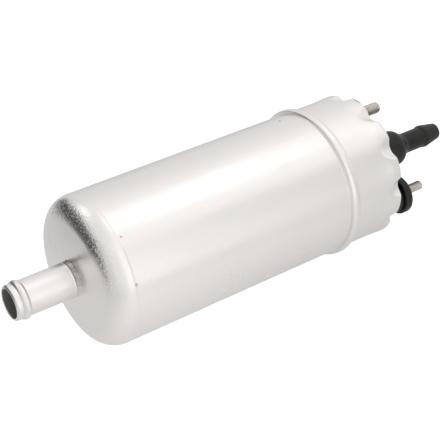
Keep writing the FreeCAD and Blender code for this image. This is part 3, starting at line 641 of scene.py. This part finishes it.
peel_dull = spread(can_tree, peel.outputs["Fac"], 0.53, 0.66, -0.08, 0.24)
peel_rough = maths(can_tree, "MULTIPLY", peel_dull, stretched)
can_tree.links.new(maths(can_tree, "ADD", can_rough, peel_rough), can_shader.inputs["Roughness"])
bump(can_tree, can_shader, maths(can_tree, "ADD", can_grain.outputs["Height"], peel_bump), can_relief, 0.5)

# The braze is dull and blotched above the axis, and brighter and more even below it: the darker top is painted
# shade.
# Painted light and shade: a lit colour below the axis, and shaded copies of the blotched colours above it.
braze_shaded_dark_colour = (0.40, 0.37, 0.35)
braze_shaded_pale_colour = (0.62, 0.59, 0.57)
braze_painted_lit_colour = (0.78, 0.755, 0.73)
braze_metal, braze_tree, braze_shader = new_material("braze")
braze_shader.inputs["Metallic"].default_value = 0.9
braze_marks = use_group(braze_tree, drawn_grain, Grain=1300.0, Lines=500.0)
braze_blotch = spread(braze_tree, braze_marks.outputs["Height"], 0.60, 0.90)
braze_split = braze_tree.nodes.new("ShaderNodeSeparateXYZ")
braze_tree.links.new(braze_tree.nodes.new("ShaderNodeTexCoord").outputs["Object"], braze_split.inputs[0])
# Painted shade: this mask darkens the braze's colour above the axis and leaves it lighter below.
braze_shade_above = spread(braze_tree, braze_split.outputs["Z"], -3.0 * mm, 5.0 * mm)
braze_shaded_blotched_colour = mix_colour(braze_tree, braze_blotch, braze_shaded_dark_colour, braze_shaded_pale_colour)
braze_tree.links.new(mix_colour(braze_tree, braze_shade_above, braze_painted_lit_colour, braze_shaded_blotched_colour),
                     braze_shader.inputs["Base Color"])
braze_tree.links.new(spread(braze_tree, braze_blotch, 0.0, 1.0, 0.44, 0.32), braze_shader.inputs["Roughness"])
bump(braze_tree, braze_shader, braze_marks.outputs["Height"], 0.00003, 0.5)

can_shell.data.materials.append(can_metal)
can_shell.data.materials.append(braze_metal)
for face in can_shell.data.polygons:
    reach = math.hypot(face.center.y, face.center.z)
    if reach < collar_radius + collar_fillet and face.center.x < can_low.x + collar_depth:
        face.material_index = 1
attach(can_shell, "housing")
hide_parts("can")


# Inlet tube: a bright metal tube with one hose bead rolled near its mouth and a flared root.
# It stands in the can's collar of braze, with a fine dark gap before it; its bore is painted dark, as painted
# shade inside the tube.
tube_low, tube_high = (Vector(corner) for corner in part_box("inlet_tube"))
tube_radius = 6.95 * mm
tube_bore = 5.8 * mm
mouth = tube_low.x
mouth_edge = 0.30 * mm
mouth_round = 0.95 * mm
mouth_lead = 1.0 * mm
mouth_length = 2.05 * mm
hose_bead_place = mouth + 4.2 * mm
hose_bead_half = 1.5 * mm
hose_bead_height = 0.7 * mm
hose_bead_lead = 0.2 * mm
drawn_in = 0.02 * mm
root_gap = 0.04 * mm
root_lean = 0.5 * mm
root_length = 1.0 * mm
root_flare = 0.10 * mm
root_trench = 0.3 * mm
root_round = 0.14 * mm
root_edge = 0.16 * mm
bore_margin = 0.02 * mm
bore_shade_start = 0.5 * mm
tube_scuff_dullness = 0.12
tube_relief = 0.000008
bore_shade_colours = ((0.10, 0.095, 0.085), (0.16, 0.15, 0.135))
flange_front = tube_high.x - 1.5 * mm
flange_radius = 11.0 * mm

# The groove before the hose bead: the place behind the mouth and the depth under the tube's skin.
bead_groove = ((2.42 * mm, 0.03 * mm), (2.60 * mm, 0.14 * mm))

bead_bow = (hose_bead_height ** 2 + hose_bead_half ** 2) / (2 * hose_bead_height)
bead_swing = math.degrees(math.asin(hose_bead_half / bead_bow))
root_end = collar_front - root_gap
tube_profile = (
    arc((mouth + mouth_edge, tube_bore + mouth_edge), mouth_edge, -90.0, -180.0, 6)
    + arc((mouth + mouth_lead, tube_radius - mouth_round), mouth_round, 172.0, 90.0, 14)
    + [(mouth + mouth_length, tube_radius)]
    + [(mouth + along, tube_radius - depth) for along, depth in bead_groove]
    + arc((hose_bead_place, tube_radius + hose_bead_height - bead_bow), bead_bow,
          90.0 + bead_swing, 90.0 - bead_swing, 20)
    + line((hose_bead_place + hose_bead_half + hose_bead_lead, tube_radius - drawn_in),
           (root_end - root_length, tube_radius), 12)
    + [(root_end - root_length + root_length * step / 12, tube_radius + root_flare * (step / 12) ** 2)
       for step in range(1, 11)]
    + arc((root_end - root_round, tube_radius + root_flare - root_edge), root_round, 110.0, 0.0, 5)
    + [(root_end, tube_radius - root_trench), (collar_front + root_trench, tube_radius - root_trench),
       (collar_front + root_trench, tube_radius), (flange_front, tube_radius),
       (flange_front, flange_radius), (tube_high.x, flange_radius), (tube_high.x, tube_bore)]
)
tube_piece = lathe("inlet_tube_bright", tube_profile, turns=192)
for vertex in tube_piece.data.vertices:
    share = min(max((vertex.co.x - root_end + root_length) / root_length, 0.0), 1.0)
    if vertex.co.x < root_end + 0.01 * mm:
        upward = max(vertex.co.z / math.hypot(vertex.co.y, vertex.co.z), 0.0)
        vertex.co.x -= root_lean * share * upward

tube_metal, tube_tree, tube_shader = new_material("tube_metal")
tube_shader.inputs["Metallic"].default_value = 1.0
tube_shader.inputs["Base Color"].default_value = (*can_colour, 1)
tube_grain = use_group(tube_tree, drawn_grain, Grain=1800.0, Lines=700.0)
tube_marks = use_group(tube_tree, scuffs, Scale=120.0, Pit_Scale=160.0)
tube_cloud = spread(tube_tree, tube_marks.outputs["Cloud"], 0.0, 1.0, *skin_roughness)
tube_rough = maths(tube_tree, "ADD", tube_cloud,
                   maths(tube_tree, "MULTIPLY", tube_marks.outputs["Scuffs"], tube_scuff_dullness))
tube_tree.links.new(tube_rough, tube_shader.inputs["Roughness"])
bump(tube_tree, tube_shader, tube_grain.outputs["Height"], tube_relief, 0.4)

# Painted shade: past the mouth the bore gets a dark, non-metallic colour for the shade inside the tube.
bore_metal, bore_tree, bore_shader = new_material("tube_bore_painted_shade")
bore_shader.inputs["Metallic"].default_value = 0.0
bore_marks = use_group(bore_tree, scuffs, Scale=200.0, Pit_Scale=200.0)
bore_clouded = mix_colour(bore_tree, bore_marks.outputs["Cloud"], *bore_shade_colours)
bore_tree.links.new(bore_clouded, bore_shader.inputs["Base Color"])
bore_shader.inputs["Roughness"].default_value = 0.55
tube_piece.data.materials.append(tube_metal)
tube_piece.data.materials.append(bore_metal)
for face in tube_piece.data.polygons:
    middle = face.center
    if math.hypot(middle.y, middle.z) < tube_bore + bore_margin and middle.x > mouth + bore_shade_start:
        face.material_index = 1
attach(tube_piece, "housing")
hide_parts("inlet_tube")


# End cap: a black glass-filled moulding pressed into the can and held by the rolled rim.
# Its mould leaves a semi-matt skin with very fine grain; its edge gives way under each crimp.
cap_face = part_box("end_cap")[1][0]
cap_play = 0.05 * mm
skirt_end = rim_end - 11.0 * mm
skirt_wall = 3.0 * mm
deck_wall = 3.5 * mm
deck_inset = 5.0 * mm
under_rim = rim_radius - can_wall - cap_play
cap_radius = can_radius - can_wall - cap_play
fitting_hole = 6.62 * mm

cap_profile = (
    line((cap_face, fitting_hole), (cap_face, rim_centre[1]), 24)
    + arc(rim_centre, under_rim, 0.0, 90.0, 14)
    + line((rim_centre[0], cap_radius), (skirt_end, cap_radius), 14)
    + [(skirt_end, cap_radius - skirt_wall), (cap_face - deck_wall, cap_radius - deck_inset),
       (cap_face - deck_wall, fitting_hole)]
)
cap_piece = lathe("end_cap_moulding", cap_profile)
crimp(cap_piece)


def moulded_skin_group():
    """Glass-filled plastic: a fine grain and soft flow clouds."""
    group, inward, outward = new_group("moulded_skin", {"Grain": 2200.0}, ("Height", "Cloud"))
    place = group.nodes.new("ShaderNodeTexCoord")
    grain = place_node(group, "ShaderNodeTexNoise", Detail=3.0, Roughness=0.6)
    group.links.new(place.outputs["Object"], grain.inputs["Vector"])
    group.links.new(inward.outputs["Grain"], grain.inputs["Scale"])
    group.links.new(grain.outputs["Fac"], outward.inputs["Height"])
    cloud = place_node(group, "ShaderNodeTexNoise", Scale=180.0, Detail=4.0, Roughness=0.6)
    group.links.new(place.outputs["Object"], cloud.inputs["Vector"])
    group.links.new(spread(group, cloud.outputs["Fac"], 0.3, 0.7), outward.inputs["Cloud"])
    return group


moulded_skin = moulded_skin_group()
plastic_gloss = 0.3
plastic_relief = 0.00002


def plastic(name, dark, pale, rough_low, rough_high, grain=2200.0):
    """A moulded plastic with clouded colour and roughness and a fine grain."""
    material, tree, shader = new_material(name)
    skin = use_group(tree, moulded_skin, Grain=grain)
    clouded = mix_colour(tree, skin.outputs["Cloud"], dark, pale)
    tree.links.new(clouded, shader.inputs["Base Color"])
    tree.links.new(spread(tree, skin.outputs["Cloud"], 0.0, 1.0, rough_low, rough_high),
                   shader.inputs["Roughness"])
    bump(tree, shader, skin.outputs["Height"], plastic_relief, 0.4)
    shader.inputs["Specular IOR Level"].default_value = plastic_gloss
    return material


cap_plastic = plastic("cap_plastic", (0.008, 0.0075, 0.007), (0.016, 0.015, 0.0135), 0.30, 0.44)
cap_piece.data.materials.append(cap_plastic)
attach(cap_piece, "housing")
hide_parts("end_cap")


# Outlet fitting: a black moulding pressed into the cap, with the hub that holds the check valve.
# A round shoulder leads to a neck and a hose barb; the mould's edges are all softly broken.
fitting_low, fitting_high = (Vector(corner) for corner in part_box("outlet_fitting"))
foot_radius = 6.6 * mm
hub_radius = 7.7 * mm
hub_end = rim_end + 20.6 * mm
hub_brow = (rim_end + 22.25 * mm, 7.2 * mm)
hub_brow_end = (rim_end + 23.4 * mm, 6.45 * mm)
hub_hollow = (rim_end + 25.0 * mm, 5.2 * mm)
neck_radius = 4.45 * mm
neck_start = rim_end + 26.9 * mm
neck_end = rim_end + 36.2 * mm
neck_lead = 0.3 * mm
edge_lead = 0.2 * mm
barb_radius = 4.9 * mm
barb_crest = rim_end + 37.6 * mm
barb_land = 0.5 * mm
barb_fall_start = 0.6 * mm
barb_fall = 0.11 * mm
outlet_end = fitting_high.x
outlet_tip = 3.6 * mm
tip_round = 0.6 * mm
tip_face = 0.12 * mm
outlet_bore = 2.75 * mm
chamber_radius = 5.0 * mm
chamber_end = hub_end - 1.7 * mm

# The barb's foot and its top: places along the fitting and heights over the neck or the barb.
barb_foot = ((-neck_lead, 0.0), (0.25 * mm, 0.04 * mm), (0.7 * mm, 0.30 * mm))
barb_top = ((-0.15 * mm, -0.08 * mm), (barb_land / 2, 0.0), (barb_land + 0.2 * mm, -0.05 * mm))


def arc_through(start, middle, end, steps):
    """Points (x, r) on the circle through three profile points."""
    first, half, last = (complex(*point) for point in (start, middle, end))
    ratio = (last - first) / (half - first)
    centre = (half - first) * (ratio - abs(ratio) ** 2) / (2j * ratio.imag) + first
    turn = (last - centre) / (first - centre)
    sweep = math.atan2(turn.imag, turn.real)
    swings = [sweep * step / steps for step in range(steps + 1)]
    spots = [centre + (first - centre) * complex(math.cos(swing), math.sin(swing)) for swing in swings]
    return [(spot.real, spot.imag) for spot in spots]


fitting_profile = (
    line((fitting_low.x, chamber_radius), (fitting_low.x, foot_radius), 2)
    + line((cap_face, foot_radius), (cap_face, hub_radius), 2)
    + line((cap_face + edge_lead, hub_radius), (hub_end, hub_radius), 12)
    + arc_through((hub_end, hub_radius), hub_brow, hub_brow_end, 14)
    + arc_through(hub_brow_end, hub_hollow, (neck_start, neck_radius), 14)
    + line((neck_start + edge_lead, neck_radius), (neck_end - neck_lead, neck_radius), 8)
    + arc_through(*[(neck_end + along, neck_radius + height) for along, height in barb_foot], 6)
    + arc_through(*[(barb_crest + along, barb_radius + height) for along, height in barb_top], 6)
    + line((barb_crest + barb_land + barb_fall_start, barb_radius - barb_fall),
           (outlet_end - tip_round, outlet_tip), 8)
    + arc((outlet_end - tip_round, outlet_tip - tip_round), tip_round, 84.0, 0.0, 8)
    + [(outlet_end - tip_face, outlet_bore), (chamber_end, outlet_bore), (chamber_end, chamber_radius)]
)
fitting_piece = lathe("outlet_fitting_moulding", fitting_profile, turns=192)
fitting_piece.data.materials.append(cap_plastic)
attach(fitting_piece, "housing")
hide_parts("outlet_fitting")


# Terminal insulators: two black moulded spools that stand on the cap, one round each stud.
# A column carries a wider disc for the ring terminal, with a narrow groove between the two.
terminal_circle = 19.4 * mm
terminal_turn = math.radians(-51.5)
column_radius = 7.0 * mm
column_round = 0.15 * mm
groove_width = 0.7 * mm
stud_play = 0.05 * mm
hole_chamfer = 0.2 * mm
insulator_radii = (7.2 * mm, 8.3 * mm)
insulator_round = 0.8 * mm
insulator_nodes = ("terminal_insulator_m5", "terminal_insulator_m4")
disc_thickness = 3.7 * mm
stud_radii = (2.5 * mm, 2.0 * mm)
stud_nodes = ("terminal_stud_m5", "terminal_stud_m4")


def to_terminal(piece, number):
    """Moves a piece made on the X axis out to one of the two terminals."""
    swing = terminal_turn + math.pi * number
    out = Vector((0.0, -math.sin(swing), math.cos(swing))) * terminal_circle
    piece.data.transform(Matrix.Translation(out) @ Matrix.Rotation(swing, 4, "X"))


insulators = zip(insulator_nodes, stud_radii, insulator_radii)
for number, (node, stud_radius, insulator_radius) in enumerate(insulators):
    low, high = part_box(node)
    hole = stud_radius + stud_play
    disc_start = high[0] - disc_thickness
    rim = insulator_radius - insulator_round
    spool_profile = (
        [(low[0], hole), (low[0], column_radius)]
        + arc((disc_start - groove_width - column_round, column_radius - column_round),
              column_round, 90.0, 0.0, 3)
        + [(disc_start - groove_width, column_radius - groove_width),
           (disc_start, column_radius - groove_width)]
        + line((disc_start, column_radius), (disc_start, rim), 3)
        + arc((disc_start + insulator_round, rim), insulator_round, 180.0, 90.0, 8)
        + arc((high[0] - insulator_round, rim), insulator_round, 90.0, 0.0, 8)
        + line((high[0], rim), (high[0], hole + hole_chamfer), 6)
        + [(high[0] - hole_chamfer, hole)]
    )
    spool = lathe(node + "_spool", spool_profile, turns=128)
    to_terminal(spool, number)
    spool.data.materials.append(cap_plastic)
    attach(spool, "housing")
    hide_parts(node)


# Terminal studs: plated steel, M5 above and M4 below, with a rolled thread and a chamfered end.
# The head sits in the cap, behind its face; above the disc a relief groove starts the thread,
# which is a true helix.
thread_pitches = (0.8 * mm, 0.7 * mm)
thread_share = 0.54
thread_rows = 10
thread_gap = 0.5 * mm
relief_length = 0.7 * mm
relief_depth = 0.45 * mm
relief_slope = 0.1 * mm
shank_step = 0.1 * mm
stud_head_height = 2.0 * mm
stud_head_radius = 4.4 * mm
stud_chamfer = 0.5 * mm
end_flat = 0.2 * mm
stud_ring = 48
stud_colours = ((0.66, 0.62, 0.56), (0.80, 0.76, 0.70))


def threaded_stud(name, head_start, disc_top, end, radius, pitch):
    """A stud with a round head, a plain shank, a relief groove and a helical thread."""
    depth = thread_share * pitch
    start = disc_top + thread_gap
    shank = radius - shank_step
    head_end = head_start + stud_head_height
    neck = radius - relief_depth
    rows = [(head_start, end_flat, 0), (head_start, stud_head_radius, 0), (head_end, stud_head_radius, 0),
            (head_end, shank, 0), (start - relief_length, shank, 0),
            (start - relief_length + relief_slope, neck, 0), (start - relief_slope, neck, 0)]
    count = int((end - stud_chamfer - start) / pitch * thread_rows)
    for row in range(count + 1):
        rows.append((start + (end - stud_chamfer - start) * row / count, radius, 1))
    rows += [(end - stud_chamfer * 0.5, radius - stud_chamfer * 0.5, 1), (end, radius - stud_chamfer, 0),
             (end, end_flat, 0)]
    points = []
    for side in range(stud_ring):
        swing = 2 * math.pi * side / stud_ring
        for place, reach, cut in rows:
            phase = ((place - start) / pitch - side / stud_ring) % 1.0
            groove = 0.5 - 0.5 * math.cos(2 * math.pi * phase)
            at = reach - cut * depth * groove ** 0.8
            points.append((place, -at * math.sin(swing), at * math.cos(swing)))
    faces = []
    total = len(rows)
    for side in range(stud_ring):
        here, there = side * total, (side + 1) % stud_ring * total
        for row in range(total - 1):
            faces.append((here + row, there + row, there + row + 1, here + row + 1))
    faces.append([side * total for side in range(stud_ring)])
    faces.append([side * total + total - 1 for side in range(stud_ring)][::-1])
    piece = new_object(name, points, faces)
    finish_mesh(piece, 40.0)
    return piece


stud_metal, stud_tree, stud_shader = new_material("stud_plated")
stud_shader.inputs["Metallic"].default_value = 1.0
stud_marks = use_group(stud_tree, scuffs, Scale=400.0, Pit_Scale=500.0)
stud_tree.links.new(mix_colour(stud_tree, stud_marks.outputs["Cloud"], *stud_colours),
                    stud_shader.inputs["Base Color"])
stud_tree.links.new(spread(stud_tree, stud_marks.outputs["Cloud"], 0.0, 1.0, 0.32, 0.45),
                    stud_shader.inputs["Roughness"])

for number, (node, stud_radius, pitch) in enumerate(zip(stud_nodes, stud_radii, thread_pitches)):
    low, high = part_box(node)
    disc_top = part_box(insulator_nodes[number])[1][0]
    stud = threaded_stud(node + "_threaded", low[0], disc_top, high[0], stud_radius, pitch)
    to_terminal(stud, number)
    stud.data.materials.append(stud_metal)
    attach(stud, "housing")
    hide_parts(node)


# Inner pieces: what the can hides, in the materials that they have on the bench.
# Their solids stay as they are; each finish is machined, sintered, drawn, wound or moulded.
def metal(name, dark, pale, rough_low, rough_high, grain, lines, relief):
    """A bare metal with clouded colour, tool grain and scuffs."""
    material, tree, shader = new_material(name)
    shader.inputs["Metallic"].default_value = 1.0
    marks = use_group(tree, scuffs, Scale=120.0, Pit_Scale=200.0)
    skin = use_group(tree, drawn_grain, Grain=grain, Lines=lines)
    tree.links.new(mix_colour(tree, marks.outputs["Cloud"], dark, pale), shader.inputs["Base Color"])
    tree.links.new(spread(tree, marks.outputs["Cloud"], 0.0, 1.0, rough_low, rough_high),
                   shader.inputs["Roughness"])
    bump(tree, shader, skin.outputs["Height"], relief, 0.5)
    return material


coil_steps = 24
coil_sides = 10

# Each coil: the mean radius, the wire and the turns.
coil_sizes = {
    "relief_spring": (2.0 * mm, 0.5 * mm, 4),
    "check_spring": (2.3 * mm, 0.5 * mm, 6),
    "brush_spring_plus": (1.9 * mm, 0.6 * mm, 4),
    "brush_spring_minus": (1.9 * mm, 0.6 * mm, 4),
}


def coil_spring(node, joint, fixed_end, travel, radius, wire, turns):
    """A compression spring of round wire between its node's ends."""
    low, high = (Vector(corner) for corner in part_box(node))
    middle = (low + high) / 2
    steps = turns * coil_steps
    sides = coil_sides
    run = high.x - low.x - wire
    points = []
    for step in range(steps + 1):
        swing = 2 * math.pi * step / coil_steps
        outward = Vector((0.0, math.cos(swing), math.sin(swing)))
        centre = Vector((low.x + wire / 2 + run * step / steps, middle.y, middle.z)) + outward * radius
        for side in range(sides):
            lean = 2 * math.pi * side / sides
            points.append(centre + (outward * math.cos(lean) + Vector((math.sin(lean), 0, 0))) * wire / 2)
    faces = [(step * sides + side, step * sides + (side + 1) % sides,
              (step + 1) * sides + (side + 1) % sides, (step + 1) * sides + side)
             for step in range(steps) for side in range(sides)]
    faces += [list(range(sides))[::-1], [steps * sides + side for side in range(sides)]]
    piece = new_object(node + "_coil", points, faces)
    finish_mesh(piece, 50.0)
    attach(piece, "housing")
    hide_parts(node)
    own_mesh(piece)
    return piece


# Each row: slot, maker, dark and pale colour, least and most roughness, then the grain's fineness
# and, for a metal, that of its draw lines and the depth of its relief in metres.
finish_rows = (
    ("seal_rubber", plastic, (0.012, 0.012, 0.012), (0.022, 0.022, 0.022), 0.55, 0.7, 1500.0),
    ("pump_aluminium", metal, (0.62, 0.62, 0.62), (0.74, 0.74, 0.74), 0.3, 0.42, 900, 600, 2e-5),
    ("sintered_steel", metal, (0.28, 0.28, 0.29), (0.40, 0.40, 0.41), 0.4, 0.55, 2600, 200, 3e-5),
    ("valve_steel", metal, (0.66, 0.66, 0.66), (0.74, 0.74, 0.74), 0.1, 0.16, 600, 100, 2e-6),
    ("spring_steel", metal, (0.36, 0.36, 0.36), (0.50, 0.50, 0.50), 0.25, 0.4, 1200, 900, 5e-6),
    ("bush_bronze", metal, (0.55, 0.36, 0.16), (0.68, 0.47, 0.24), 0.4, 0.52, 2600, 200, 2e-5),
    ("shaft_steel", metal, (0.62, 0.62, 0.63), (0.72, 0.72, 0.73), 0.14, 0.22, 1200, 900, 4e-6),
    ("washer_plastic", plastic, (0.60, 0.55, 0.42), (0.70, 0.65, 0.52), 0.4, 0.5),
    ("core_steel", metal, (0.24, 0.24, 0.25), (0.36, 0.36, 0.37), 0.35, 0.5, 900, 1400, 2e-5),
    ("winding_copper", metal, (0.42, 0.14, 0.05), (0.60, 0.24, 0.10), 0.2, 0.34, 700, 1600, 6e-5),
    ("commutator_copper", metal, (0.62, 0.32, 0.18), (0.76, 0.44, 0.28), 0.2, 0.3, 900, 600, 6e-6),
    ("commutator_plastic", plastic, (0.10, 0.045, 0.025), (0.15, 0.07, 0.04), 0.4, 0.5),
    ("flux_steel", metal, (0.42, 0.43, 0.42), (0.56, 0.57, 0.55), 0.3, 0.45, 700, 500, 1e-5),
    ("magnet_ferrite", plastic, (0.045, 0.045, 0.05), (0.075, 0.075, 0.08), 0.5, 0.65, 1200.0),
    ("brush_carbon", plastic, (0.03, 0.03, 0.034), (0.06, 0.06, 0.065), 0.35, 0.5, 1800.0),
    ("strap_brass", metal, (0.66, 0.50, 0.24), (0.78, 0.62, 0.34), 0.22, 0.32, 900, 700, 6e-6),
    ("seat_brass", metal, (0.64, 0.49, 0.25), (0.76, 0.61, 0.35), 0.2, 0.3, 900, 700, 6e-6),
    ("poppet_plastic", plastic, (0.66, 0.62, 0.50), (0.76, 0.72, 0.60), 0.35, 0.45),
)
inner_finishes = {slot: make(slot, *values) for slot, make, *values in finish_rows}

for row in frame["record"]["subparts"]:
    finish = inner_finishes.get(row["material_slot"])
    if finish is None:
        continue
    node = frame["nodes"][row["node"]]
    node.data.materials.clear()
    node.data.materials.append(finish)

for joint in frame["joints"]:
    for row in joint.get("deforming_nodes", ()):
        coil = coil_spring(row["node"], joint["name"], row["fixed_end_x_m"], max(joint["range_m"]),
                           *coil_sizes[row["node"]])
        coil.data.materials.append(inner_finishes["spring_steel"])
